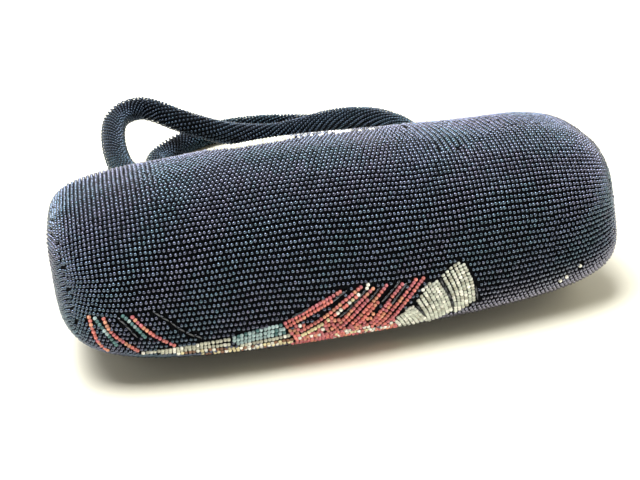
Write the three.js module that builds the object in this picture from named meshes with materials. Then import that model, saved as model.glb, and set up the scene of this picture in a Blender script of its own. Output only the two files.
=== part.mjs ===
// Beaded handbag, lying on its decorated front with the two rope handles laid out behind the mouth.
// Millimetres, +Z up. The bag's length runs along X, its bottom faces -Y and its mouth opens to +Y.

import * as THREE from "three";

// Driving dimensions
const wallThickness = 2.5;
const ropeThickness = 13.2;
const ropeRadius = ropeThickness / 2;
const tableHeight = 0;
const lyingHeight = tableHeight + ropeRadius;
// From the hem to the ends of the handles
const hemGap = 0.4;
// From the bottom's middle line to the middle of the footprint
const bottomToCentre = 141.4;
// Half length over which the bulge of the bottom fades out
const bulgeReach = 110;
// How far the right end of the bag hangs lower than its middle
const rightEndDrop = 0.5;

// Mesh fineness
const segmentCount = 64;
const rowCount = 33;
const ropeSides = 10;
const ropeSteps = 70;

// Rings of the body, from the middle line of the bottom to the mouth
// along: from the bottom, height: of the ring's middle, lean: degrees that the ring tips back,
// halfLength and halfDepth: of the ring, squareness: of its corners, bulge: of its middle to the front
const rings = [
  { along: 0.0, height: 33.0, lean: 13.5, halfLength: 81.0, halfDepth: 0.0, squareness: 4.3, bulge: 9.5 },
  { along: 0.6, height: 33.0, lean: 13.5, halfLength: 89.0, halfDepth: 9.3, squareness: 4.3, bulge: 9.5 },
  { along: 3.0, height: 33.0, lean: 14.0, halfLength: 97.0, halfDepth: 18.7, squareness: 4.2, bulge: 9.5 },
  { along: 8.0, height: 33.0, lean: 14.0, halfLength: 104.0, halfDepth: 25.9, squareness: 4.2, bulge: 8.8 },
  { along: 17.0, height: 33.8, lean: 12.0, halfLength: 108.0, halfDepth: 31.0, squareness: 4.1, bulge: 6.6 },
  { along: 32.0, height: 33.6, lean: 7.0, halfLength: 110.0, halfDepth: 33.7, squareness: 4.1, bulge: 3.7 },
  { along: 55.0, height: 32.2, lean: 2.0, halfLength: 109.0, halfDepth: 33.2, squareness: 5.0, bulge: 0.0 },
  { along: 85.0, height: 26.2, lean: -1.0, halfLength: 103.5, halfDepth: 27.7, squareness: 4.6, bulge: 0.0 },
  { along: 115.0, height: 18.7, lean: -2.0, halfLength: 97.0, halfDepth: 20.2, squareness: 4.0, bulge: 0.0 },
  { along: 140.0, height: 13.3, lean: -1.0, halfLength: 90.0, halfDepth: 14.8, squareness: 3.0, bulge: 0.0 },
  { along: 148.0, height: 13.0, lean: 0.0, halfLength: 88.0, halfDepth: 13.8, squareness: 2.8, bulge: 0.0 },
];
const mouthAlong = rings[rings.length - 1].along;

const fullHalfDepth = Math.max(...rings.map((ring) => ring.halfDepth));

// The four corners of the bag sag differently: added to the rings' squareness
const cornerSag = { upperRight: 0.3, upperLeft: 0.9, lowerLeft: -0.25, lowerRight: 0.15 };
const sagFullDepth = 18.7;

// The back isn't even: it swells left of the middle and dips towards the right end
const backSwells = [
  { at: -15, reach: 55, rise: 2.2 },
  { at: 60, reach: 28, rise: -1.0 },
];

// Routes of the handles, each a hand-laid list of x, y, z from one end at the mouth to the other
const ropeStart = mouthAlong + hemGap;
const backHandleRoute = [
  [-68, ropeStart, 20.6],
  [-68.4, 160, 20.6],
  [-73, 177, 20.4],
  [-78, 198, 21.0],
  [-80, 219, 24.0],
  [-79.5, 241, 27.9],
  [-76.5, 257, 30.3],
  [-70.5, 266.5, 31.5],
  [-62, 270, 31.4],
  [-53.5, 266.5, 29.2],
  [-46, 261, 26.1],
  [-37.5, 257, 22.5],
  [-28, 256.5, 18.2],
  [-16, 259.5, 12.8],
  [-2, 262.5, 8.8],
  [12.5, 264, lyingHeight],
  [26, 259, 9.0],
  [38, 248, 14.0],
  [48.5, 233, 18.6],
  [59, 218, 21.0],
  [67, 202, 21.2],
  [71, 184, 20.8],
  [70.5, 169, 20.6],
  [68.4, 160, 20.6],
  [68, ropeStart, 20.6],
];
const frontHandleRoute = [
  [-68, ropeStart, lyingHeight],
  [-67.6, 160, lyingHeight],
  [-61, 179, lyingHeight],
  [-54, 203, lyingHeight],
  [-57, 226, lyingHeight],
  [-58, 243, lyingHeight],
  [-51, 259, lyingHeight],
  [-38, 275, lyingHeight],
  [-22, 285, lyingHeight],
  [-8, 287.5, lyingHeight],
  [6, 286, lyingHeight],
  [24, 278, lyingHeight],
  [39, 267, lyingHeight],
  [51, 252, lyingHeight],
  [58, 232, lyingHeight],
  [59, 206, lyingHeight],
  [62, 180, lyingHeight],
  [67.6, 160, lyingHeight],
  [68, ropeStart, lyingHeight],
];

// Smooth value of one ring column at a place between rings, without overshoot
function ringValue(column, place) {
  const last = rings.length - 1;
  const value = (i) => rings[Math.min(Math.max(i, 0), last)][column];
  const slope = (i) => {
    const before = value(i) - value(i - 1);
    const after = value(i + 1) - value(i);
    if (i === 0) return after;
    if (i === last) return before;
    return before * after > 0 ? (2 * before * after) / (before + after) : 0;
  };
  const i = Math.min(Math.floor(place), last - 1);
  const t = place - i;
  const rise = value(i + 1) - value(i);
  const bend = slope(i) + slope(i + 1) - 2 * rise;
  return value(i) + t * (slope(i) + t * (3 * rise - 2 * slope(i) - slope(i + 1) + t * bend));
}

// Corner sag for the quarter of the ring that a direction points into
function sagTowards(across, upward) {
  if (upward >= 0) return across >= 0 ? cornerSag.upperRight : cornerSag.upperLeft;
  return across >= 0 ? cornerSag.lowerRight : cornerSag.lowerLeft;
}

// Height that the swells of the back add at x where the bag is thickest
function swellHeight(x) {
  let height = 0;
  for (const swell of backSwells) {
    const share = Math.min(Math.abs(x - swell.at) / swell.reach, 1);
    height += (swell.rise * (1 + Math.cos(Math.PI * share))) / 2;
  }
  return height;
}

// Point of the body's outside, by place along the rings and by angle round the ring
function bodyPoint(place, angle) {
  const halfDepth = ringValue("halfDepth", place);
  const lean = THREE.MathUtils.degToRad(ringValue("lean", place));
  const across = Math.cos(angle);
  const upward = Math.sin(angle);
  const sagShare = Math.min(1, halfDepth / sagFullDepth);
  const power = ringValue("squareness", place) + sagShare * sagTowards(across, upward);
  const reach = (Math.abs(across) ** power + Math.abs(upward) ** power) ** (-1 / power);
  const x = ringValue("halfLength", place) * reach * across;
  const swell = upward > 0 ? (swellHeight(x) / fullHalfDepth) * (halfDepth / fullHalfDepth) : 0;
  const rise = halfDepth * reach * upward * (1 + swell);
  const bulge = ringValue("bulge", place) * (1 - (x / bulgeReach) ** 2);
  const y = ringValue("along", place) + rise * Math.sin(lean) - bulge;
  const z = ringValue("height", place) + rise * Math.cos(lean) - (rightEndDrop * x) / bulgeReach;
  return new THREE.Vector3(x, y, Math.max(z, tableHeight));
}

// Outside of the body as rows of points
function bodyRows() {
  const rows = [];
  for (let row = 0; row <= rowCount; row++) {
    const place = (row / rowCount) * (rings.length - 1);
    const points = [];
    for (let segment = 0; segment < segmentCount; segment++) {
      points.push(bodyPoint(place, (segment / segmentCount) * 2 * Math.PI));
    }
    rows.push(points);
  }
  return rows;
}

// Direction out of the wall at a point of the rows
function outward(rows, row, segment) {
  if (row === 0) {
    const lean = THREE.MathUtils.degToRad(rings[0].lean);
    return new THREE.Vector3(0, -Math.cos(lean), Math.sin(lean));
  }
  const next = rows[row][(segment + 1) % segmentCount];
  const previous = rows[row][(segment + segmentCount - 1) % segmentCount];
  const further = rows[Math.min(row + 1, rowCount)][segment];
  const nearer = rows[row - 1][segment];
  const round = new THREE.Vector3().subVectors(next, previous);
  const along = new THREE.Vector3().subVectors(further, nearer);
  return along.cross(round).normalize();
}

// Inside of the body: the outside moved in by the wall, flush with it at the mouth
function insideRows(rows) {
  return rows.map((points, row) =>
    points.map((point, segment) => {
      const inner = point.clone().addScaledVector(outward(rows, row, segment), -wallThickness);
      if (row === rowCount) inner.y = point.y;
      return inner;
    }),
  );
}

// Closed hollow shell from its outside and inside rows, joined by the hem round the mouth
function shellGeometry(outside, inside) {
  const positions = [];
  for (const point of [...outside.flat(), ...inside.flat()]) positions.push(point.x, point.y, point.z);
  const insideStart = (rowCount + 1) * segmentCount;
  // The first row is folded flat into the bottom's middle line, so its two halves share their points
  const folded = (segment) => Math.min(segment, segmentCount - segment);
  const indexOf = (start, row, segment) => {
    const wrapped = segment % segmentCount;
    return start + row * segmentCount + (row === 0 ? folded(wrapped) : wrapped);
  };
  const indices = [];
  const quad = (a, b, c, d) => indices.push(a, c, b, a, d, c);
  for (let segment = 0; segment < segmentCount; segment++) {
    for (let row = 0; row < rowCount; row++) {
      const corner = (start, rowStep, segmentStep) => indexOf(start, row + rowStep, segment + segmentStep);
      quad(corner(0, 0, 0), corner(0, 0, 1), corner(0, 1, 1), corner(0, 1, 0));
      quad(
        corner(insideStart, 0, 0),
        corner(insideStart, 1, 0),
        corner(insideStart, 1, 1),
        corner(insideStart, 0, 1),
      );
    }
    quad(
      indexOf(0, rowCount, segment),
      indexOf(0, rowCount, segment + 1),
      indexOf(insideStart, rowCount, segment + 1),
      indexOf(insideStart, rowCount, segment),
    );
  }
  const geometry = new THREE.BufferGeometry();
  geometry.setAttribute("position", new THREE.Float32BufferAttribute(positions, 3));
  geometry.setIndex(indices);
  geometry.computeVertexNormals();
  return geometry;
}

// Bead rope: a round section swept along its route
function ropeGeometry(route) {
  const path = new THREE.CatmullRomCurve3(route.map((point) => new THREE.Vector3(...point)));
  const corners = [];
  for (let side = 0; side < ropeSides; side++) {
    const angle = (side / ropeSides) * 2 * Math.PI;
    corners.push(new THREE.Vector2(ropeRadius * Math.cos(angle), ropeRadius * Math.sin(angle)));
  }
  const section = new THREE.Shape(corners);
  return new THREE.ExtrudeGeometry(section, { steps: ropeSteps, extrudePath: path });
}

// Finishes
const navyBeadwork = new THREE.MeshStandardMaterial({ color: 0x1a2130, roughness: 0.35, metalness: 0.2 });
const navyRope = new THREE.MeshStandardMaterial({ color: 0x1c2634, roughness: 0.4, metalness: 0.2 });

// Assembly, centred over its footprint
function namedPiece(name, geometry, material) {
  const piece = new THREE.Mesh(geometry, material);
  piece.name = name;
  piece.position.y = -bottomToCentre;
  return piece;
}

const outside = bodyRows();
const handbag = new THREE.Group();
handbag.name = "beaded_handbag";
handbag.add(namedPiece("bag_body", shellGeometry(outside, insideRows(outside)), navyBeadwork));
handbag.add(namedPiece("handle_back", ropeGeometry(backHandleRoute), navyRope));
handbag.add(namedPiece("handle_front", ropeGeometry(frontHandleRoute), navyRope));

export default handbag;
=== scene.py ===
# Beaded handbag lying on its decorated front, dressed in its seed beads. Metres, +Z up.

import math

import bmesh
import bpy
import numpy as np
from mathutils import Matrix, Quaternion, Vector
from mathutils.kdtree import KDTree


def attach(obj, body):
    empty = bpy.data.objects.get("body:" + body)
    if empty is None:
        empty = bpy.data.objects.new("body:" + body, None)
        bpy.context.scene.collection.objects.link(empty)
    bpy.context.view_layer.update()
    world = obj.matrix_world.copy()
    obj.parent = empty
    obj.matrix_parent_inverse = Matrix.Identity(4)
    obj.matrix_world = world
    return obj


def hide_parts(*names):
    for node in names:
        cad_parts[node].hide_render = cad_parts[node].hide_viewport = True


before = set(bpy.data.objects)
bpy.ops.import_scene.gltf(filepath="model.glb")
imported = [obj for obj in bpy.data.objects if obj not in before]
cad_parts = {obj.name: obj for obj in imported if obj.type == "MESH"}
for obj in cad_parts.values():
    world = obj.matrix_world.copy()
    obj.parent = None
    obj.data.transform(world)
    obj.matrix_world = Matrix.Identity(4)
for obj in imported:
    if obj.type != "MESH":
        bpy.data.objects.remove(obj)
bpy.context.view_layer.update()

# Sizes below are in millimetres and are turned into the frame's metres where a mesh is made
MM = 0.001
BOTTOM_TO_CENTRE = 141.4
FULL_TURN = 2 * math.pi
CHANCE_SEED = 11
chance = np.random.default_rng(CHANCE_SEED)

# Camera at the photograph's angle
PHOTO_WIDTH = 640
FOCAL_PIXELS = 1150
SENSOR_WIDTH = 36
CAMERA_AZIMUTH = -9.8
CAMERA_ELEVATION = 22.0
CAMERA_ROLL = -5.6
CAMERA_DISTANCE = 424
CAMERA_AIM = (-11, 10, 40)
NEAREST_SEEN = 10

# Rings of the body, from the middle line of the bottom to the mouth
RING_COLUMNS = ("along", "height", "lean", "half_length", "half_depth", "squareness", "bulge")
RINGS = (
    (0.0, 33.0, 13.5, 81.0, 0.0, 4.3, 9.5),
    (0.6, 33.0, 13.5, 89.0, 9.3, 4.3, 9.5),
    (3.0, 33.0, 14.0, 97.0, 18.7, 4.2, 9.5),
    (8.0, 33.0, 14.0, 104.0, 25.9, 4.2, 8.8),
    (17.0, 33.8, 12.0, 108.0, 31.0, 4.1, 6.6),
    (32.0, 33.6, 7.0, 110.0, 33.7, 4.1, 3.7),
    (55.0, 32.2, 2.0, 109.0, 33.2, 5.0, 0.0),
    (85.0, 26.2, -1.0, 103.5, 27.7, 4.6, 0.0),
    (115.0, 18.7, -2.0, 97.0, 20.2, 4.0, 0.0),
    (140.0, 13.3, -1.0, 90.0, 14.8, 3.0, 0.0),
    (148.0, 13.0, 0.0, 88.0, 13.8, 2.8, 0.0),
)
LAST_RING = len(RINGS) - 1
FULL_HALF_DEPTH = 33.7
# The back isn't even: it swells left of the middle and dips towards the right end
SWELL_COLUMNS = ("at", "reach", "rise")
BACK_SWELLS = (
    (-15, 55, 2.2),
    (60, 28, -1.0),
)
# How much squarer each corner is than its ring, in full from the last value's half depth on
SAG_UPPER_RIGHT = 0.3
SAG_UPPER_LEFT = 0.9
SAG_LOWER_LEFT = -0.25
SAG_LOWER_RIGHT = 0.15
SAG_FULL_DEPTH = 18.7
BULGE_REACH = 110
RIGHT_END_DROP = 0.5
WALL_THICKNESS = 2.5

# Seed beads of the body: rows run along the bag, and upright ones fill its back on the right.
# A bead's size is given along its row, across it and out of the cloth.
ROW_SPACING = 2.14
BEAD_PITCH = 1.65
BEAD_SIZE = (1.4, 1.52, 1.6)
UPRIGHT_BEAD_SIZE = (1.42, 1.85, 1.6)
BEAD_SINK = 0.85
CLOTH_SINK = 1.15
PLAIN_HEM = 0.13
LAST_BEAD_PLACE = LAST_RING - PLAIN_HEM
ROW_SKEW = -0.02
END_FACE_SLANT = 0.8
SLANT_SCATTER = 0.1
ROW_CLEARANCE = 1.02
# Every second row is moved on by a share of a bead, which above the stagger level changes with x
FULL_STAGGER = 0.5
STAGGER_LEVEL = 10
STAGGER = (
    (-80, 0),
    (-55, FULL_STAGGER),
    (15, FULL_STAGGER),
    (35, 0),
)
# Slow waves that carry the rows off their course: turn for each millimetre of x and of level, and size
ROW_DRIFTS = (
    (0.045, 0.030, 0.55),
    (0.085, -0.060, 0.35),
    (0.19, 0.13, 0.16),
)
DRIFT_SPREAD = 40
LEVEL_DRIFT_START = 1.0
X_DRIFT_START = 4.0
# x and level of the line where the rows along the bag meet the upright ones
MITRE = (
    (30, 200),
    (36, 60),
    (40, 44),
    (50, 47.5),
    (58, 52),
    (64, 58),
    (74, 64),
    (109, 64),
)
# Step along the line of a row before its beads are spaced on it
LINE_STEP = 1.0
# How finely an end face is followed, and how far round its rows sweep
END_STEPS = 600
SWEEP_STEPS = 260
END_SWEEP = 1.3
# How much one bead differs from the next
ROW_UNEVENNESS = 1
ORNAMENT_UNEVENNESS = 0.5
SIZE_SCATTER = 0.045
TURN_SCATTER = 0.12
SWAY_SCATTER = 0.07
DEPTH_SCATTER = 0.05
PITCH_SCATTER = 0.05
ROPE_PITCH_SCATTER = 0.06
SHADE_RANGE = (0.75, 1.25)
POLISH_RANGE = (0.6, 1.4)
# Form of one seed bead of size 1: where it is cut off, and the stretch along it that is fuller
BEAD_SIDES = 8
BEAD_BELTS = 4
BEAD_CUT = -0.1
BEAD_FULL_STRETCH = (0.1, 0.45)
BEAD_FULLNESS = 1.12
TUBE_SIDES = 8

# Rope handles, which start just inside the edge of the hem
ROPE_THICKNESS = 13.2
ROPE_RADIUS = ROPE_THICKNESS / 2
ROPE_START = 147.2
ROPE_LINES = 14
# Share of the rope's length, and the angle of the bead lines to the rope there
ROPE_TWIST = ((0, 36), (0.38, 36), (0.56, 25), (1, 25))
ROPE_BEAD_PITCH = 1.95
ROPE_BEAD_SIZE = (1.72, 2.0, 1.8)
ROPE_CORE_SINK = 1.25
ROPE_STEPS = 1200
ROPE_END_MARGIN = 0.6
BACK_HANDLE_ROUTE = (
    (-68, ROPE_START, 20.6),
    (-68.4, 160, 20.6),
    (-73, 177, 20.4),
    (-78, 198, 21.0),
    (-80, 219, 24.0),
    (-79.5, 241, 27.9),
    (-76.5, 257, 30.3),
    (-70.5, 266.5, 31.5),
    (-62, 270, 31.4),
    (-53.5, 266.5, 29.2),
    (-46, 261, 26.1),
    (-37.5, 257, 22.5),
    (-28, 256.5, 18.2),
    (-16, 259.5, 12.8),
    (-2, 262.5, 8.8),
    (12.5, 264, ROPE_RADIUS),
    (26, 259, 9.0),
    (38, 248, 14.0),
    (48.5, 233, 18.6),
    (59, 218, 21.0),
    (67, 202, 21.2),
    (71, 184, 20.8),
    (70.5, 169, 20.6),
    (68.4, 160, 20.6),
    (68, ROPE_START, 20.6),
)
FRONT_HANDLE_ROUTE = (
    (-68, ROPE_START, ROPE_RADIUS),
    (-67.6, 160, ROPE_RADIUS),
    (-61, 179, ROPE_RADIUS),
    (-54, 203, ROPE_RADIUS),
    (-57, 226, ROPE_RADIUS),
    (-58, 243, ROPE_RADIUS),
    (-51, 259, ROPE_RADIUS),
    (-38, 275, ROPE_RADIUS),
    (-22, 285, ROPE_RADIUS),
    (-8, 287.5, ROPE_RADIUS),
    (6, 286, ROPE_RADIUS),
    (24, 278, ROPE_RADIUS),
    (39, 267, ROPE_RADIUS),
    (51, 252, ROPE_RADIUS),
    (58, 232, ROPE_RADIUS),
    (59, 206, ROPE_RADIUS),
    (62, 180, ROPE_RADIUS),
    (67.6, 160, ROPE_RADIUS),
    (68, ROPE_START, ROPE_RADIUS),
)

# Dark glass, and the sheens that come and go over it in patches
NAVY = (0.089, 0.106, 0.153)
TEAL_SHEEN = (0.078, 0.116, 0.150)
VIOLET_SHEEN = (0.102, 0.106, 0.152)
ROPE_TINT = (0.33, 0.41, 0.43)
DARK_ROUGHNESS = 0.09
# Each sheen's waves turn this much for each millimetre of x, y and z, from a start of their own
TEAL_WAVES = (0.09, 0.05, -0.11)
TEAL_START = 1
VIOLET_WAVES = (-0.06, 0.08, 0.10)
VIOLET_START = 3
# Mean share of a sheen, how far it swings, how its waves bend, and the scatter from bead to bead
PATCH_SHARE = 0.35
PATCH_SWING = 0.4
PATCH_BEND = 1.8
BEND_RATE = 0.7
PATCH_SCATTER = 0.22
# Painted reflection of the pale table: bead colour turned paler low on the body. The height where it starts,
# its rise towards the right, and its fade
TABLE_REFLECTION_TINT = (0.23, 0.225, 0.285)
TABLE_REFLECTION_TOP = 15
TABLE_REFLECTION_RISE = 0.09
TABLE_REFLECTION_FADE = 12

# Colours of the ornament: a mix is a list of shares and colours
CREAM = (0.50, 0.50, 0.42)
PEARL = (0.64, 0.67, 0.60)
WHITE = (0.88, 0.87, 0.81)
GOLD = (0.74, 0.66, 0.40)
CORAL = (0.66, 0.19, 0.165)
ROSE = (0.54, 0.145, 0.17)
BRICK = (0.64, 0.28, 0.175)
TEAL = (0.07, 0.18, 0.19)
PALE_TEAL = (0.37, 0.50, 0.53)
BROWN = (0.24, 0.11, 0.06)
SLATE = (0.075, 0.08, 0.092)
MIXES = {
    "cream": ((0.85, CREAM), (0.15, WHITE)),
    "pearl": ((0.60, PEARL), (0.22, WHITE), (0.18, CREAM)),
    "white": ((1.0, WHITE),),
    "broken_white": ((0.6, WHITE), (0.4, SLATE)),
    "coral": ((0.50, CORAL), (0.25, BRICK), (0.25, ROSE)),
    "rose": ((0.60, ROSE), (0.40, CORAL)),
    "gold": ((0.36, GOLD), (0.40, WHITE), (0.24, CORAL)),
    "field": ((0.44, ROSE), (0.26, CORAL), (0.16, BRICK), (0.14, WHITE)),
    "teal": ((0.70, TEAL), (0.30, PALE_TEAL)),
    "pale_teal": ((0.75, PALE_TEAL), (0.25, TEAL)),
    "earth": ((0.34, BROWN), (0.30, WHITE), (0.36, GOLD)),
    "slate": ((1.0, SLATE),),
}

# Lines of the ornament: colour mix, then x and level of the points it passes
ORNAMENT_LINES = (
    ("rose", ((-7.9, -5.5), (-17.6, -9.6), (-30.5, -15.2))),
    ("coral", ((-11.6, -8.6), (-18.6, -11.7), (-30.0, -16.8))),
    ("coral", ((-0.4, -4.9), (-7.6, -9.5), (-15.7, -14.8), (-26, -20))),
    ("gold", ((-1.0, -7.2), (-6.4, -10.9), (-14.5, -16.3), (-24, -21.6))),
    ("coral", ((4.0, -6.0), (-2.4, -11.0), (-8.3, -16.5), (-15, -22))),
    ("rose", ((1.4, -10.1), (-4.4, -15.3), (-10, -20.5))),
    ("coral", ((9.2, -5.4), (3.6, -10.9), (-1.2, -15.3), (-7, -21))),
    ("coral", ((5.2, -11.4), (0.6, -16.0), (-4, -20.6))),
    ("rose", ((14.7, -6.3), (10.3, -10.6), (6.2, -15.2), (1, -21))),
    ("coral", ((9.6, -13.4), (6.6, -17.0), (2.6, -21.6))),
    ("coral", ((20.5, -5.2), (14.9, -10.8), (8.8, -17.3), (4, -23))),
    ("rose", ((23.1, -5.2), (16.7, -11.9), (10.8, -18.4), (6, -24))),
    ("coral", ((-98.2, -4.1), (-97.6, -11.7), (-96.0, -20.6), (-93.5, -25))),
    ("coral", ((-93.2, -5.3), (-91.1, -12.8), (-86.6, -18.7), (-83, -23))),
    ("coral", ((-83.6, -4.4), (-80.2, -10.1), (-75.5, -15.4), (-69.6, -20.2))),
    ("teal", ((-96.4, -5.2), (-94.2, -10.5), (-91.8, -15.5), (-89.9, -20.2))),
    ("teal", ((-86.9, -3.6), (-84.1, -7.6), (-81.7, -11.4), (-79.7, -15.1))),
    ("gold", ((-12, -25.0), (-2, -25.6), (9, -26.0))),
    ("pale_teal", ((-49, -18.6), (-39.2, -16.6), (-31.6, -15.6))),
    ("pale_teal", ((-50, -20.4), (-39.4, -18.4), (-30.8, -17.3))),
    ("pale_teal", ((-48, -22.0), (-39.6, -20.2), (-30.0, -19.0))),
    ("cream", ((-82, -25.0), (-74.5, -23.2), (-61, -20.6), (-50, -19.0))),
    ("cream", ((-76, -25.2), (-61, -22.4), (-50, -22.0))),
    ("cream", ((-47, -23.6), (-38, -22.2), (-28.5, -20.7))),
    ("earth", ((-70, -26.2), (-58, -24.4), (-44, -25.4), (-28, -23.6))),
    ("earth", ((-62, -27.6), (-48, -27.2), (-28, -25.6))),
    ("broken_white", ((-10, 84.6), (2, 84.8), (14, 85.0))),
    ("broken_white", ((8, 82.4), (18, 82.8), (26, 83.6))),
)

# Lines of long tube beads in the ornament
TUBE_LINES = (
    ((-12.0, -6.3), (-21.9, -10.7), (-27, -12.6)),
    ((-4.8, -4.5), (-7.0, -5.9), (-13.5, -10.0), (-19, -13.0)),
    ((1.9, -5.0), (-2.7, -9.6), (-7.5, -13.7), (-11.3, -16.6)),
    ((6.7, -5.0), (4.2, -8.0), (1.0, -11.0), (-4.0, -15.0)),
    ((14.4, -4.6), (10.3, -8.2), (5.4, -12.6)),
    ((17.3, -4.9), (13.0, -9.7), (9.0, -14.4)),
    ((27.1, -5.1), (29.5, -10.3), (32.4, -17.9), (33.0, -23.5)),
    ((16.8, -15.0), (19.0, -16.9), (23.7, -26.3)),
    ((39.2, -4.5), (39.9, -8.0), (41.4, -12.5), (42.2, -17.6)),
    ((-89.3, -3.5), (-85.4, -9.4), (-81.9, -15.5)),
    ((-76.6, -2.8), (-70.2, -9.0), (-64.7, -14.4), (-59.6, -17.0)),
)

# Cream scallops: the lines fan from the top edge to the bottom edge
SCALLOP_COLUMNS = ("lines", "top_left", "top_right", "bottom_left", "bottom_right", "bow")
SCALLOPS = (
    (6, (29.2, -5.4), (37.5, -2.8), (34.2, -24.0), (41.0, -19.6), 1.0),
    (7, (18.9, -13.4), (26.4, -7.4), (24.8, -29.0), (32.2, -22.6), 0.8),
    (7, (10.4, -21.4), (17.0, -16.6), (13.6, -30.0), (23.4, -27.4), 0.4),
)

# Field of mixed beads between the feathers and the lower edge: level, then x of its ends
FIELD_ROWS = (
    (-16.8, -29, 4),
    (-18.4, -29, 8),
    (-20.0, -29, 9),
    (-21.6, -28, 10),
    (-23.2, -28, 11),
    (-24.8, -28, 12),
    (-26.4, -28, 12),
    (-28.0, -28, 12),
    (-29.6, -28, 12),
)
# Cream band over the back, where it turns out of sight: level, then x of its ends
BAND_ROWS = (
    (77.2, -31, -14),
    (78.8, -35, -11),
    (80.4, -37, -10),
    (82.0, -39, -10),
    (83.6, -41, -11),
    (85.2, -43, -11),
    (86.8, -45, -12),
    (88.4, -45, -14),
)
# x and level of single white beads
SINGLE_WHITE_BEADS = (
    (84.7, -17.3),
    (79.0, -20.9),
    (76.4, -22.2),
    (1.0, -5.0),
    (0.5, -6.3),
    (-8.6, 79.2),
    (-6.2, 80.8),
    (-3.4, 80.0),
    (-0.6, 78.4),
    (1.0, 80.2),
    (4.4, 80.8),
    (6.6, 79.2),
    (8.2, 80.6),
)
ORNAMENT_BEAD_SIZE = (1.4, 1.5, 1.65)
ORNAMENT_PITCH = 1.42
SCALLOP_BEAD_SIZE = (1.22, 1.5, 1.5)
SCALLOP_PITCH = 1.27
TUBE_SIZE = (3.3, 1.0, 1.3)
TUBE_PITCH = 3.4
ORNAMENT_CLEARANCE = 1.1
SCALLOP_CLEARANCE = 0.85
DARK_CLEARANCE = 1.15
TUBE_CLEARANCE = 1.0
ROUTE_STEPS = 200
LINE_START = 0.3
SCALLOP_ARCH = 1.2
SINGLE_REACH = 0.5
BRIGHT_ROUGHNESS = 0.2
BRIGHT_GLASS = {"IOR": 1.55, "Coat Weight": 0.4, "Coat Roughness": 0.06}

# Dark and light tone of the cloth and of the table, and how many metres the table reaches
CLOTH_TONES = ((0.002, 0.0024, 0.0034, 1), (0.006, 0.007, 0.010, 1))
TABLE_TONES = ((0.71, 0.69, 0.59, 1), (0.74, 0.72, 0.615, 1))
TABLE_REACH = 6
THREAD_SCALE = 420.0
# Steps of the cloth and of a rope's core along and round, and the distance at which seams are welded
CLOTH_GRID = (80, 128)
CORE_GRID = (160, 16)
SEAM_WELD = 0.01

# Soft panel lights, in metres: name, place, width and height, brightness and colour
LIGHTS = (
    ("ceiling_light", (-0.2, 0.15, 1.15), (1.1, 0.95), 13.0, (1.0, 1.0, 1.0)),
    ("back_light", (0, 1.8, 0.75), (4.0, 1.5), 1.6, (1.0, 0.98, 0.94)),
    ("left_light", (-1.5, 0.2, 0.6), (2.0, 1.2), 1.2, (1.0, 0.96, 0.86)),
    ("right_light", (1.5, 0.2, 0.6), (2.0, 1.2), 3.3, (1.0, 0.95, 0.76)),
    ("front_light", (0.5, -1.4, 0.3), (2.4, 0.5), 2.3, (1.0, 0.96, 0.88)),
)
LIGHT_AIM = (0, 0, 0.03)
ROOM_COLOUR = (1.0, 0.9, 0.7, 1)
ROOM_STRENGTH = 0.08


# Frame and camera

def in_frame(points):
    """Points measured from the bottom of the bag, in the frame's metres."""
    return (np.asarray(points, float) - (0, BOTTOM_TO_CENTRE, 0)) * MM


def add_camera():
    lens = bpy.data.cameras.new("photo_camera")
    lens.sensor_width = SENSOR_WIDTH
    lens.lens = FOCAL_PIXELS / PHOTO_WIDTH * SENSOR_WIDTH
    lens.clip_start = NEAREST_SEEN * MM
    holder = bpy.data.objects.new("photo_camera", lens)
    bpy.context.scene.collection.objects.link(holder)
    azimuth = math.radians(CAMERA_AZIMUTH)
    elevation = math.radians(CAMERA_ELEVATION)
    level = math.cos(elevation)
    back = Vector((math.sin(azimuth) * level, -math.cos(azimuth) * level, math.sin(elevation)))
    holder.location = Vector(in_frame(CAMERA_AIM)) + back * CAMERA_DISTANCE * MM
    holder.rotation_mode = "QUATERNION"
    tilt = Quaternion((0, 0, 1), math.radians(CAMERA_ROLL))
    holder.rotation_quaternion = (-back).to_track_quat("-Z", "Y") @ tilt
    bpy.context.scene.camera = holder


# Materials

class Value:
    """A number socket of a finish that Python arithmetic can be written with."""

    def __init__(self, finish, socket):
        self.finish = finish
        self.socket = socket

    def _math(self, operation, first, second):
        sockets = {0: first, 1: second}
        return self.finish.value("ShaderNodeMath", {"operation": operation}, sockets)

    def __add__(self, other):
        return self._math("ADD", self, other)

    def __sub__(self, other):
        return self._math("SUBTRACT", self, other)

    def __rsub__(self, other):
        return self._math("SUBTRACT", other, self)

    def __mul__(self, other):
        return self._math("MULTIPLY", self, other)

    __radd__ = __add__
    __rmul__ = __mul__


class Finish:
    """A procedural material and the nodes that feed its shader."""

    def __init__(self, name, constants):
        self.material = bpy.data.materials.new(name)
        self.material.use_nodes = True
        self.tree = self.material.node_tree
        self.shader = self.tree.nodes["Principled BSDF"]
        for socket, constant in constants.items():
            self.shader.inputs[socket].default_value = constant

    def feed(self, socket, given):
        if isinstance(given, Value):
            given = given.socket
        if isinstance(given, bpy.types.NodeSocket):
            self.tree.links.new(given, socket)
        else:
            socket.default_value = given

    def node(self, kind, settings=None, sockets=None):
        node = self.tree.nodes.new(kind)
        for name, setting in (settings or {}).items():
            setattr(node, name, setting)
        for name, given in (sockets or {}).items():
            self.feed(node.inputs[name], given)
        return node

    def value(self, kind, settings=None, sockets=None, output=0):
        return Value(self, self.node(kind, settings, sockets).outputs[output])

    def surface(self, feeds):
        for socket, given in feeds.items():
            self.feed(self.shader.inputs[socket], given)
        return self.material


def bead_finish(name, roughness, constants):
    finish = Finish(name, constants)
    tint = finish.node("ShaderNodeAttribute", {"attribute_name": "bead_colour"})
    polish = finish.value("ShaderNodeAttribute", {"attribute_name": "bead_polish"}, output="Fac")
    return finish.surface({"Base Color": tint.outputs["Color"], "Roughness": polish * roughness})


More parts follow.
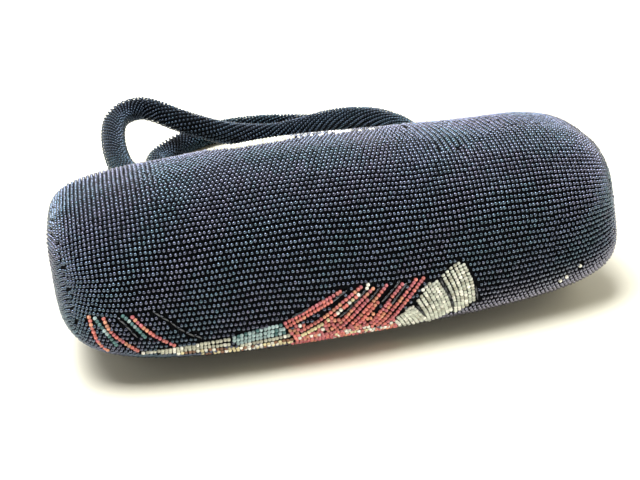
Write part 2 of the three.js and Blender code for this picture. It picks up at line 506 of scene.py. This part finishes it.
def cloth_finish():
    finish = Finish("navy_cloth", {"Roughness": 0.85, "Specular IOR Level": 0.05})
    where = finish.node("ShaderNodeTexCoord").outputs["Object"]
    threads = {"Vector": where, "Scale": THREAD_SCALE, "Distortion": 1.5, "Detail": 1.0}
    warp = finish.value("ShaderNodeTexWave", {"bands_direction": "X"}, threads)
    weft = finish.value("ShaderNodeTexWave", {"bands_direction": "Y"}, threads)
    weave = warp * weft
    shade = finish.node(
        "ShaderNodeMix",
        {"data_type": "RGBA"},
        {"Factor": weave, "A": CLOTH_TONES[0], "B": CLOTH_TONES[1]},
    )
    relief = finish.node("ShaderNodeBump", None, {"Height": weave, "Strength": 0.4, "Distance": 0.0002})
    return finish.surface({"Base Color": shade.outputs["Result"], "Normal": relief.outputs["Normal"]})


def floor_finish():
    finish = Finish("pale_table", {"Roughness": 0.6})
    where = finish.node("ShaderNodeTexCoord").outputs["Object"]
    mottle = finish.value("ShaderNodeTexNoise", None, {"Vector": where, "Scale": 3.0, "Detail": 2.0})
    shade = finish.node(
        "ShaderNodeMix",
        {"data_type": "RGBA"},
        {"Factor": mottle, "A": TABLE_TONES[0], "B": TABLE_TONES[1]},
    )
    return finish.surface({"Base Color": shade.outputs["Result"]})


# Shape of the body

def ring_value(column, place):
    """Smooth value of one ring column at places between rings, without overshoot."""
    values = np.array([row[RING_COLUMNS.index(column)] for row in RINGS])
    rises = np.diff(values)
    slopes = np.zeros(len(values))
    slopes[0] = rises[0]
    slopes[-1] = rises[-1]
    before = rises[:-1]
    after = rises[1:]
    same_way = before * after > 0
    total = np.where(same_way, before + after, 1)
    slopes[1:-1] = np.where(same_way, 2 * before * after / total, 0)
    ring = np.clip(np.floor(place).astype(int), 0, LAST_RING - 1)
    t = place - ring
    rise = rises[ring]
    start = slopes[ring]
    end = slopes[ring + 1]
    return values[ring] + t * (start + t * (3 * rise - 2 * start - end + t * (start + end - 2 * rise)))


def corner_power(place, across, upward):
    """Squareness of the ring's corner in the quarter that a direction points into."""
    upper = np.where(across >= 0, SAG_UPPER_RIGHT, SAG_UPPER_LEFT)
    lower = np.where(across >= 0, SAG_LOWER_RIGHT, SAG_LOWER_LEFT)
    fullness = np.minimum(1, ring_value("half_depth", place) / SAG_FULL_DEPTH)
    return ring_value("squareness", place) + fullness * np.where(upward >= 0, upper, lower)


def swell_height(x):
    """How far the full back stands above an even one."""
    height = 0
    for row in BACK_SWELLS:
        swell = dict(zip(SWELL_COLUMNS, row))
        share = np.minimum(np.abs(x - swell["at"]) / swell["reach"], 1)
        height = height + swell["rise"] * (1 + np.cos(np.pi * share)) / 2
    return height


def body_point(place, angle):
    """Outside of the body by place along the rings and angle round the ring."""
    lean = np.radians(ring_value("lean", place))
    half_depth = ring_value("half_depth", place)
    across = np.cos(angle)
    upward = np.sin(angle)
    power = corner_power(place, across, upward)
    spread = (np.abs(across) ** power + np.abs(upward) ** power) ** (-1 / power)
    x = ring_value("half_length", place) * spread * across
    swell = np.where(upward > 0, swell_height(x) / FULL_HALF_DEPTH * half_depth / FULL_HALF_DEPTH, 0)
    rise = half_depth * spread * upward * (1 + swell)
    bulge = ring_value("bulge", place) * (1 - (x / BULGE_REACH) ** 2)
    y = ring_value("along", place) + rise * np.sin(lean) - bulge
    z = ring_value("height", place) + rise * np.cos(lean) - RIGHT_END_DROP * x / BULGE_REACH
    return np.stack([x, y, np.maximum(z, 0)], -1)


def unit(vectors):
    shortest = 1e-9
    return vectors / np.maximum(np.linalg.norm(vectors, axis=-1, keepdims=True), shortest)


def body_outward(place, angle):
    """Direction out of the body's wall."""
    step = 0.03
    place = np.clip(place, 2 * step, LAST_RING - step)
    along = body_point(place + step, angle) - body_point(place - step, angle)
    around = body_point(place, angle + step) - body_point(place, angle - step)
    return unit(np.cross(along, around))


def travel_along(points):
    """Distance travelled along a line of points."""
    return np.concatenate([[0], np.cumsum(np.linalg.norm(np.diff(points, axis=0), axis=1))])


# Chart of the panels

# x runs across the bag. The level runs along the middle section from the bottom's middle line:
# positive up over the edge and onto the back, negative down and under onto the front.
NOSE_CENTRE = 34
CHART_SIDE = 109
CHART_X = np.linspace(-CHART_SIDE, CHART_SIDE, 2 * CHART_SIDE + 1)
CHART_REACH = 212
CHART_LEVELS = np.arange(-CHART_REACH, CHART_REACH, 0.5)
CHART_STEPS = 400
SPAN_STEPS = 2001
# How strongly a section's steps are bunched towards the bottom and the mouth
BUNCHING = 4
RING_WIDTHS = [row[RING_COLUMNS.index("half_length")] for row in RINGS]
ROW_LEVELS = (-209, 209)
# How far the levels run on where the mouth's corners turn past its middle
CORNER_LEVELS = 32


def ring_angle(place, x, half):
    """Angle at which a ring's upper (1) or lower (-1) half passes x."""
    power = corner_power(place, x, half)
    across = np.minimum(np.abs(x) / ring_value("half_length", place), 1)
    upward = (1 - across ** power) ** (1 / power)
    return np.arctan2(half * upward, np.where(x >= 0, across, -across))


def ring_span(x):
    """First and last place where the bag is wide enough to pass x."""
    widest = RING_WIDTHS.index(max(RING_WIDTHS))
    widening = np.linspace(0, widest, SPAN_STEPS)
    narrowing = np.linspace(LAST_RING, widest, SPAN_STEPS)
    first = np.interp(abs(x), ring_value("half_length", widening), widening)
    last = np.interp(abs(x), ring_value("half_length", narrowing), narrowing)
    return first, last


def section(x):
    """Place, angle, points and swing round the bottom, from the front's mouth to the back's."""
    first, last = ring_span(x)
    share = np.linspace(0, 1, CHART_STEPS)
    bunched = share ** BUNCHING / (share ** BUNCHING + (1 - share) ** BUNCHING)
    upper = first + (last - first) * bunched
    place = np.concatenate([upper[::-1], upper])
    half = np.repeat([-1, 1], CHART_STEPS)
    angle = ring_angle(place, x, half)
    points = body_point(place, angle)
    middle_height = ring_value("height", place) - RIGHT_END_DROP * x / BULGE_REACH
    swing = half * np.arctan2(np.abs(points[:, 2] - middle_height), NOSE_CENTRE - points[:, 1])
    return place, angle, points, np.maximum.accumulate(swing)


def panel_chart():
    """Place and direction round the ring for each level and x, not a number outside the bag."""
    points, middle_swing = section(0)[2:]
    travel = travel_along(points)
    middle_level = travel - travel[CHART_STEPS]
    middle_swing = np.concatenate([[-math.pi], middle_swing, [math.pi]])
    middle_level = np.concatenate(
        [[middle_level[0] - CORNER_LEVELS], middle_level, [middle_level[-1] + CORNER_LEVELS]]
    )
    columns = []
    for x in CHART_X:
        place, angle, points, swing = section(x)
        level = np.interp(swing, middle_swing, middle_level)
        rows = (place, np.cos(angle), np.abs(np.sin(angle)))
        columns.append([np.interp(CHART_LEVELS, level, row, left=np.nan, right=np.nan) for row in rows])
    return np.moveaxis(np.array(columns), 0, 2)


chart = panel_chart()


def grid_share(grid, values):
    """Cell of a regular grid that each value falls in, and how far along that cell."""
    step = (values - grid[0]) / (grid[1] - grid[0])
    cell = np.clip(step.astype(int), 0, len(grid) - 2)
    return cell, np.clip(step - cell, 0, 1)


def panel_spot(level, x):
    """Place and angle of the body's outside at a level and x."""
    row, down = grid_share(CHART_LEVELS, level)
    column, over = grid_share(CHART_X, x)
    near = chart[:, row, column] * (1 - over) + chart[:, row, column + 1] * over
    far = chart[:, row + 1, column] * (1 - over) + chart[:, row + 1, column + 1] * over
    place, across, upward = near * (1 - down) + far * down
    return place, np.arctan2(np.where(level < 0, -upward, upward), across)


# Making pieces

def add_piece(name, mesh, finish):
    piece = bpy.data.objects.new(name, mesh)
    bpy.context.scene.collection.objects.link(piece)
    mesh.materials.append(finish)
    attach(piece, "root")
    return piece


def mapped_grid(name, columns, rows, place_points, capped):
    """A grid laid onto a surface by its two shares from 0 to 1, with its seams welded."""
    bm = bmesh.new()
    bmesh.ops.create_grid(bm, x_segments=columns, y_segments=rows, size=0.5)
    flat = np.array([vertex.co for vertex in bm.verts]) + 0.5
    for vertex, point in zip(bm.verts, in_frame(place_points(flat[:, 0], flat[:, 1]))):
        vertex.co = point
    bmesh.ops.remove_doubles(bm, verts=bm.verts, dist=SEAM_WELD * MM)
    if capped:
        bmesh.ops.holes_fill(bm, edges=[edge for edge in bm.edges if edge.is_boundary])
    bmesh.ops.recalc_face_normals(bm, faces=bm.faces)
    mesh = bpy.data.meshes.new(name)
    bm.to_mesh(mesh)
    bm.free()
    mesh.shade_smooth()
    return mesh


def corners_and_faces(bm):
    bm.verts.index_update()
    corners = np.array([vertex.co for vertex in bm.verts])
    faces = [[vertex.index for vertex in face.verts] for face in bm.faces]
    bm.free()
    return corners, faces


def seed_bead_shape():
    """One seed bead: a rounded barrel lying along X, cut off where it sits in the cloth."""
    bm = bmesh.new()
    bmesh.ops.create_uvsphere(bm, u_segments=BEAD_SIDES, v_segments=BEAD_BELTS, radius=0.5)
    bmesh.ops.rotate(bm, verts=bm.verts, matrix=Quaternion((0, 1, 0), math.pi / 2).to_matrix())
    sunk = [vertex for vertex in bm.verts if vertex.co.z < BEAD_CUT]
    bmesh.ops.delete(bm, geom=sunk, context="VERTS")
    inner, outer = BEAD_FULL_STRETCH
    for vertex in bm.verts:
        if inner < abs(vertex.co.x) < outer:
            vertex.co.y *= BEAD_FULLNESS
            vertex.co.z *= BEAD_FULLNESS
    return corners_and_faces(bm)


def tube_bead_shape():
    """One long tube bead lying along X."""
    bm = bmesh.new()
    bmesh.ops.create_cone(bm, cap_ends=True, segments=TUBE_SIDES, radius1=0.5, radius2=0.5, depth=1)
    bmesh.ops.rotate(bm, verts=bm.verts, matrix=Quaternion((0, 1, 0), math.pi / 2).to_matrix())
    return corners_and_faces(bm)


def joined_beads(name, shape, beads, finish):
    """One mesh of many copies of a bead, each with its own place, direction, size and colour."""
    corners, faces = shape
    count = len(beads["centre"])
    side = np.cross(beads["outward"], beads["along"])
    axes = np.stack([beads["along"], side, beads["outward"]], 1)
    reach_down = np.linalg.norm(beads["size"] * axes[:, :, 2], axis=1) / 2
    centre = beads["centre"].copy()
    centre[:, 2] = np.maximum(centre[:, 2], reach_down)
    scaled = corners[None] * beads["size"][:, None]
    points = centre[:, None] + np.einsum("bci,bij->bcj", scaled, axes)
    loops = np.concatenate(faces)
    face_sizes = np.array([len(face) for face in faces])
    face_starts = np.cumsum(face_sizes) - face_sizes
    copy = np.arange(count)[:, None]
    mesh = bpy.data.meshes.new(name)
    mesh.vertices.add(count * len(corners))
    mesh.vertices.foreach_set("co", in_frame(points.reshape(-1, 3)).ravel())
    mesh.loops.add(count * len(loops))
    mesh.loops.foreach_set("vertex_index", (loops[None] + copy * len(corners)).ravel())
    mesh.polygons.add(count * len(faces))
    mesh.polygons.foreach_set("loop_start", (face_starts[None] + copy * len(loops)).ravel())
    mesh.update(calc_edges=True)
    mesh.shade_smooth()
    tint = mesh.color_attributes.new("bead_colour", "FLOAT_COLOR", "POINT")
    rgba = np.concatenate([beads["colour"], np.ones((count, 1))], axis=1)
    tint.data.foreach_set("color", np.repeat(rgba, len(corners), axis=0).ravel())
    polish = mesh.attributes.new("bead_polish", "FLOAT", "POINT")
    polish.data.foreach_set("value", np.repeat(chance.uniform(*POLISH_RANGE, count), len(corners)))
    return add_piece(name, mesh, finish)


def mixed_colours(mix, count):
    shares = [share for share, colour in mix]
    colours = np.array([colour for share, colour in mix])
    picked = colours[chance.choice(len(colours), size=count, p=shares)]
    return picked * chance.uniform(*SHADE_RANGE, (count, 1))


def patches(centres, waves, start):
    """A share between 0 and 1 that comes and goes over the bag, with some scatter from bead to bead."""
    bend = np.sin(centres @ np.array(waves)[::-1] * BEND_RATE + start)
    share = PATCH_SHARE + PATCH_SWING * np.sin(centres @ np.array(waves) + PATCH_BEND * bend + 2 * start)
    return np.clip(share + chance.normal(0, PATCH_SCATTER, len(centres)), 0, 1)[:, None]


def dark_colours(centres):
    """Dark glass with a teal or violet sheen in patches."""
    teal = patches(centres, TEAL_WAVES, TEAL_START)
    colours = np.array(NAVY) + teal * (np.array(TEAL_SHEEN) - NAVY)
    violet = patches(centres, VIOLET_WAVES, VIOLET_START)
    colours = colours + violet * (np.array(VIOLET_SHEEN) - colours)
    return colours * chance.uniform(*SHADE_RANGE, (len(centres), 1))


def painted_table_reflection(colours, centres):
    """The colours, turned paler low on the body as a painted reflection of the table."""
    x = centres[:, :1]
    z = centres[:, 2:]
    share = np.clip((TABLE_REFLECTION_TOP + TABLE_REFLECTION_RISE * x - z) / TABLE_REFLECTION_FADE, 0, 1)
    return colours + share * (np.array(TABLE_REFLECTION_TINT) - colours)


def chosen(beads, mask):
    return {name: values[mask] for name, values in beads.items()}


def gathered(groups):
    return {name: np.concatenate([group[name] for group in groups]) for name in groups[0]}


def clear_of(points, others, clearance):
    """Which points keep a clearance from all the others."""
    tree = KDTree(len(others))
    for index, other in enumerate(others):
        tree.insert(other, index)
    tree.balance()
    return np.array([tree.find(point)[2] > clearance for point in points])


# Beads sewn onto the body

def sewn_beads(place, angle, size, unevenness):
    """Beads along one line on the body, in the order of the line."""
    outward = body_outward(place, angle)
    points = body_point(place, angle)
    along = unit(np.gradient(points, axis=0)) if len(points) > 1 else np.cross(outward, (0, 0, 1))
    along = unit(along - outward * (along * outward).sum(1, keepdims=True))
    count = len(place)
    turn = chance.normal(0, TURN_SCATTER, (count, 1)) * unevenness
    side = np.cross(outward, along)
    sway = chance.normal(0, SWAY_SCATTER, (count, 1)) * unevenness
    depth = BEAD_SINK + chance.normal(0, DEPTH_SCATTER, (count, 1))
    return {
        "centre": points - outward * depth + side * sway,
        "along": along * np.cos(turn) + side * np.sin(turn),
        "outward": outward,
        "size": np.array(size) * chance.normal(1, SIZE_SCATTER, (count, 3)),
    }


def spaced_spots(level, x, pitch, start):
    """Levels and x of beads strung along a line at a pitch, counted from the line's middle.

    The start, a share of the pitch that moves the beads on, is one number or one for each point.
    """
    place, angle = panel_spot(level, x)
    inside = np.isfinite(place)
    level = level[inside]
    x = x[inside]
    travel = travel_along(body_point(place[inside], angle[inside]))
    middle = np.interp(len(inside) // 2, np.flatnonzero(inside), travel)
    spots = np.arange(middle / pitch % 1 * pitch, travel[-1], pitch)
    spots = spots + pitch * np.interp(spots, travel, np.broadcast_to(start, len(inside))[inside])
    spots = spots + chance.normal(0, PITCH_SCATTER * pitch, len(spots))
    return np.interp(spots, travel, level), np.interp(spots, travel, x)


def drift(level, x, start):
    """Slow waves that carry rows off their course."""
    total = 0
    for across, along, size in ROW_DRIFTS:
        total = total + size * np.sin(across * x + along * level + start * (1 + across * DRIFT_SPREAD))
    return total


def panel_row(level, x, size, start):
    """Beads of one row over the front, bottom or back, where it stays on the bag."""
    level = level + drift(level, x, LEVEL_DRIFT_START)
    x = np.clip(x + drift(level, x, X_DRIFT_START), -CHART_SIDE, CHART_SIDE)
    level, x = spaced_spots(level, x, BEAD_PITCH, start)
    place, angle = panel_spot(level, x)
    inside = np.isfinite(place) & (np.nan_to_num(place) < LAST_BEAD_PLACE)
    row = sewn_beads(place[inside], angle[inside], size, ROW_UNEVENNESS)
    row["level"] = level[inside]
    row["above_mitre"] = row["level"] - np.interp(x[inside], *np.transpose(MITRE))
    slant = np.abs(row["outward"][:, 0]) + SLANT_SCATTER * chance.uniform(-1, 1, len(row["level"]))
    return chosen(row, slant < END_FACE_SLANT)


def rows_along():
    """Rows that run along the bag, below the mitre."""
    x = np.arange(-CHART_SIDE, CHART_SIDE, LINE_STEP)
    rows = []
    for number, level in enumerate(np.arange(*ROW_LEVELS, ROW_SPACING)):
        stagger = FULL_STAGGER if level < STAGGER_LEVEL else np.interp(x, *np.transpose(STAGGER))
        row = panel_row(level + ROW_SKEW * x, x, BEAD_SIZE, stagger * (number % 2))
        rows.append(chosen(row, row["above_mitre"] < 0))
    return gathered(rows)


def rows_upright():
    """Rows that run up the back, above the mitre."""
    level = np.arange(0, CHART_LEVELS[-1], LINE_STEP)
    rows = []
    for number, x in enumerate(np.arange(MITRE[0][0], CHART_SIDE, ROW_SPACING)):
        row = panel_row(level, np.full(len(level), x), UPRIGHT_BEAD_SIZE, FULL_STAGGER * (number % 2))
        rows.append(chosen(row, row["above_mitre"] >= 0))
    return gathered(rows)


def panel_rows():
    along = rows_along()
    upright = rows_upright()
    upright = chosen(upright, clear_of(upright["centre"], along["centre"], ROW_CLEARANCE))
    return gathered([along, upright])


def end_rows(middle_angle):
    """Upright rows on one end face."""
    places = np.linspace(0, LAST_BEAD_PLACE, END_STEPS)
    travel = travel_along(body_point(places, np.full(END_STEPS, middle_angle)))
    sweep = middle_angle + np.linspace(-END_SWEEP, END_SWEEP, SWEEP_STEPS)
    rows = []
    for number, reach in enumerate(np.arange(ROW_SPACING / 2, travel[-1], ROW_SPACING)):
        place = np.interp(reach, travel, places)
        row_travel = travel_along(body_point(np.full(SWEEP_STEPS, place), sweep))
        spots = np.arange(FULL_STAGGER * (number % 2) * BEAD_PITCH, row_travel[-1], BEAD_PITCH)
        angle = np.interp(spots, row_travel, sweep)
        row = sewn_beads(np.full(len(angle), place), angle, UPRIGHT_BEAD_SIZE, ROW_UNEVENNESS)
        rows.append(chosen(row, np.abs(row["outward"][:, 0]) >= END_FACE_SLANT - SLANT_SCATTER))
    return gathered(rows)


# Ornament

def smooth_route(route, count):
    """Points along a smooth curve through the route's points."""
    points = np.array(route, float)
    points = np.vstack([2 * points[0] - points[1], points, 2 * points[-1] - points[-2]])
    spans = len(route) - 1
    travel = np.linspace(0, spans, count)
    span = np.minimum(travel.astype(int), spans - 1)
    t = (travel - span)[:, None]
    p0, p1, p2, p3 = (points[span + offset] for offset in range(4))
    spacings = [np.linalg.norm(b - a, axis=1, keepdims=True) for a, b in ((p0, p1), (p1, p2), (p2, p3))]
    d0, d1, d2 = np.sqrt(spacings)
    start = ((p1 - p0) / d0 - (p2 - p0) / (d0 + d1) + (p2 - p1) / d1) * d1
    end = ((p2 - p1) / d1 - (p3 - p1) / (d1 + d2) + (p3 - p2) / d2) * d1
    return p1 + t * (start + t * (3 * (p2 - p1) - 2 * start - end + t * (2 * (p1 - p2) + start + end)))


def ornament_line(mix, route, size, pitch):
    """Beads of one colour mix strung along a route of x and level."""
    x, level = smooth_route(route, ROUTE_STEPS).T
    level, x = spaced_spots(level, x, pitch, LINE_START)
    beads = sewn_beads(*panel_spot(level, x), size, ORNAMENT_UNEVENNESS)
    beads["colour"] = mixed_colours(MIXES[mix], len(x))
    return beads


def between(first, last, share):
    return np.array(first) * (1 - share) + np.array(last) * share


def scallop_routes():
    """Routes of the scallops' lines, each by its top, middle and bottom."""
    for row in SCALLOPS:
        scallop = dict(zip(SCALLOP_COLUMNS, row))
        for share in np.linspace(0, 1, scallop["lines"]):
            top = between(scallop["top_left"], scallop["top_right"], share)
            bottom = between(scallop["bottom_left"], scallop["bottom_right"], share)
            top[1] += SCALLOP_ARCH * math.sin(math.pi * share)
            middle = (top + bottom) / 2 + (scallop["bow"], 0)
            yield top, middle, bottom


def ornament_beads():
    """All seed beads of the ornament: where lines meet, the one that comes first in the tables stays."""
    scallops = [ornament_line("pearl", route, SCALLOP_BEAD_SIZE, SCALLOP_PITCH) for route in scallop_routes()]
    lines = list(ORNAMENT_LINES)
    lines += [("field", ((start, level), (end, level))) for level, start, end in FIELD_ROWS]
    lines += [("cream", ((start, level), (end, level))) for level, start, end in BAND_ROWS]
    for x, level in SINGLE_WHITE_BEADS:
        lines.append(("white", ((x - SINGLE_REACH, level), (x + SINGLE_REACH, level))))
    kept = scallops[0]
    for beads in scallops[1:]:
        beads = chosen(beads, clear_of(beads["centre"], kept["centre"], SCALLOP_CLEARANCE))
        kept = gathered([kept, beads])
    for mix, route in lines:
        beads = ornament_line(mix, route, ORNAMENT_BEAD_SIZE, ORNAMENT_PITCH)
        beads = chosen(beads, clear_of(beads["centre"], kept["centre"], ORNAMENT_CLEARANCE))
        kept = gathered([kept, beads])
    return kept


def tube_beads(seed_beads):
    """Long tube beads, left out where seed beads of the ornament lie."""
    lines = [ornament_line("slate", route, TUBE_SIZE, TUBE_PITCH) for route in TUBE_LINES]
    tubes = gathered(lines)
    return chosen(tubes, clear_of(tubes["centre"], seed_beads["centre"], TUBE_CLEARANCE))


def tube_spans(tubes):
    """Points along the tubes that other beads keep clear of."""
    reach = tubes["along"] * TUBE_SIZE[0] / 3
    return np.concatenate([tubes["centre"] - reach, tubes["centre"], tubes["centre"] + reach])


# Body

# Levels that part the beads into those of the front, the bottom and the back
FRONT_LEVEL = -35
BACK_LEVEL = 60


def add_cloth():
    def cloth_points(u, v):
        place = u * LAST_RING
        angle = v * FULL_TURN
        return body_point(place, angle) - CLOTH_SINK * body_outward(place, angle)

    mesh = mapped_grid("body_cloth", *CLOTH_GRID, cloth_points, capped=False)
    cloth = add_piece("body_cloth", mesh, cloth_finish())
    wall = cloth.modifiers.new("wall", "SOLIDIFY")
    wall.thickness = (WALL_THICKNESS - CLOTH_SINK) * MM
    wall.offset = -1
    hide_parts("bag_body")


def add_body_beads(seed_bead, dark_bead, bright_bead):
    ornament = ornament_beads()
    tubes = tube_beads(ornament)
    joined_beads("ornament_beads", seed_bead, ornament, bright_bead)
    joined_beads("ornament_tubes", tube_bead_shape(), tubes, dark_bead)
    panels = panel_rows()
    taken = np.concatenate([ornament["centre"], tube_spans(tubes)])
    panels = chosen(panels, clear_of(panels["centre"], taken, DARK_CLEARANCE))
    # Beads low on the body get a painted reflection of the table in their colour
    panels["colour"] = painted_table_reflection(dark_colours(panels["centre"]), panels["centre"])
    bands = {
        "front": panels["level"] < FRONT_LEVEL,
        "bottom": (panels["level"] >= FRONT_LEVEL) & (panels["level"] < BACK_LEVEL),
        "back": panels["level"] >= BACK_LEVEL,
    }
    on_left = panels["centre"][:, 0] < 0
    for band, in_band in bands.items():
        for side, on_side in (("left", on_left), ("right", ~on_left)):
            beads = chosen(panels, in_band & on_side)
            joined_beads("beads_%s_%s" % (band, side), seed_bead, beads, dark_bead)
    for name, middle_angle in (("beads_end_right", 0), ("beads_end_left", math.pi)):
        ends = end_rows(middle_angle)
        ends = chosen(ends, clear_of(ends["centre"], panels["centre"], ROW_CLEARANCE))
        ends = chosen(ends, clear_of(ends["centre"], taken, DARK_CLEARANCE))
        ends["colour"] = dark_colours(ends["centre"])
        joined_beads(name, seed_bead, ends, dark_bead)


# Rope handles

class Rope:
    """The middle line of a handle, with two directions square to it that don't twist."""

    def __init__(self, route):
        self.points = smooth_route(route, ROPE_STEPS)
        self.travel = travel_along(self.points)
        self.length = self.travel[-1]
        self.ahead = unit(np.gradient(self.points, axis=0))
        sides = [np.array((0.0, 0.0, 1.0))]
        for ahead in self.ahead:
            side = sides[-1] - ahead * (sides[-1] @ ahead)
            sides.append(side / np.linalg.norm(side))
        self.side = np.array(sides[1:])
        self.other = np.cross(self.ahead, self.side)

    def at(self, rows, travel):
        return np.stack([np.interp(travel, self.travel, rows[:, axis]) for axis in range(3)], -1)

    def outward(self, travel, turn):
        side = unit(self.at(self.side, travel))
        other = unit(self.at(self.other, travel))
        return side * np.cos(turn)[:, None] + other * np.sin(turn)[:, None]


def rope_lean(rope, travel):
    """Angle between the bead lines and the rope."""
    shares, angles = np.transpose(ROPE_TWIST)
    return np.radians(np.interp(travel / rope.length, shares, angles))


def rope_beads(rope):
    """Bead lines that wind round a rope, each with its beads at one pitch along the line."""
    radius = ROPE_RADIUS - BEAD_SINK
    steps, step = np.linspace(0, rope.length, ROPE_STEPS, retstep=True)
    lean = rope_lean(rope, steps)
    line_length = np.cumsum(step / np.cos(lean))
    line_turn = -np.cumsum(step * np.tan(lean)) / radius
    travels = []
    turns = []
    for line in range(ROPE_LINES):
        spots = np.arange(chance.uniform(0, ROPE_BEAD_PITCH), line_length[-1], ROPE_BEAD_PITCH)
        spots = spots + chance.normal(0, ROPE_PITCH_SCATTER, len(spots))
        travels.append(np.interp(spots, line_length, steps))
        turns.append(line / ROPE_LINES * FULL_TURN + np.interp(spots, line_length, line_turn))
    travel = np.clip(np.concatenate(travels), ROPE_END_MARGIN, rope.length - ROPE_END_MARGIN)
    turn = np.concatenate(turns)
    outward = rope.outward(travel, turn)
    ahead = unit(rope.at(rope.ahead, travel))
    round_way = np.cross(ahead, outward)
    lean = rope_lean(rope, travel)[:, None]
    along = ahead * np.cos(lean) - round_way * np.sin(lean)
    total = len(travel)
    size = np.array(ROPE_BEAD_SIZE) * chance.normal(1, SIZE_SCATTER, (total, 3))
    # Lines that lean lie closer together, so their beads are narrower
    size[:, 1:2] *= np.cos(lean) ** 2
    centre = rope.at(rope.points, travel) + outward * (radius + chance.normal(0, DEPTH_SCATTER, (total, 1)))
    return {
        "centre": centre,
        "along": along,
        "outward": outward,
        "size": size,
        "colour": dark_colours(centre) * ROPE_TINT,
    }


def add_handle(name, route, seed_bead, dark_bead, core_cloth):
    rope = Rope(route)
    core_radius = ROPE_RADIUS - ROPE_CORE_SINK

    def core_points(u, v):
        travel = u * rope.length
        return rope.at(rope.points, travel) + core_radius * rope.outward(travel, v * FULL_TURN)

    mesh = mapped_grid(name + "_core", *CORE_GRID, core_points, capped=True)
    core = add_piece(name + "_core", mesh, core_cloth)
    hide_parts(name)
    joined_beads(name + "_beads", seed_bead, rope_beads(rope), dark_bead)


# Table and light

def add_floor():
    bm = bmesh.new()
    bmesh.ops.create_grid(bm, x_segments=1, y_segments=1, size=TABLE_REACH)
    mesh = bpy.data.meshes.new("table_top")
    bm.to_mesh(mesh)
    bm.free()
    floor = bpy.data.objects.new("table_top", mesh)
    bpy.context.scene.collection.objects.link(floor)
    mesh.materials.append(floor_finish())


def add_panel_light(name, place, size, brightness, colour):
    """A rectangular soft light: brightness is the light that its face gives off."""
    lamp = bpy.data.lights.new(name, "AREA")
    lamp.shape = "RECTANGLE"
    lamp.size, lamp.size_y = size
    lamp.energy = brightness * math.pi * size[0] * size[1]
    lamp.color = colour
    holder = bpy.data.objects.new(name, lamp)
    bpy.context.scene.collection.objects.link(holder)
    holder.location = place
    holder.rotation_mode = "QUATERNION"
    holder.rotation_quaternion = (Vector(LIGHT_AIM) - Vector(place)).to_track_quat("-Z", "Y")


def add_light():
    world = bpy.data.worlds.new("dim_room")
    bpy.context.scene.world = world
    world.use_nodes = True
    room = world.node_tree.nodes["Background"]
    room.inputs["Color"].default_value = ROOM_COLOUR
    room.inputs["Strength"].default_value = ROOM_STRENGTH
    for light in LIGHTS:
        add_panel_light(*light)
    bpy.context.scene.view_settings.view_transform = "Standard"


add_camera()
seed_bead = seed_bead_shape()
dark_bead = bead_finish("navy_iris_bead", DARK_ROUGHNESS, {"Metallic": 1.0})
bright_bead = bead_finish("opaque_bead", BRIGHT_ROUGHNESS, BRIGHT_GLASS)
core_cloth = cloth_finish()
add_cloth()
add_body_beads(seed_bead, dark_bead, bright_bead)
add_handle("handle_back", BACK_HANDLE_ROUTE, seed_bead, dark_bead, core_cloth)
add_handle("handle_front", FRONT_HANDLE_ROUTE, seed_bead, dark_bead, core_cloth)
add_floor()
add_light()
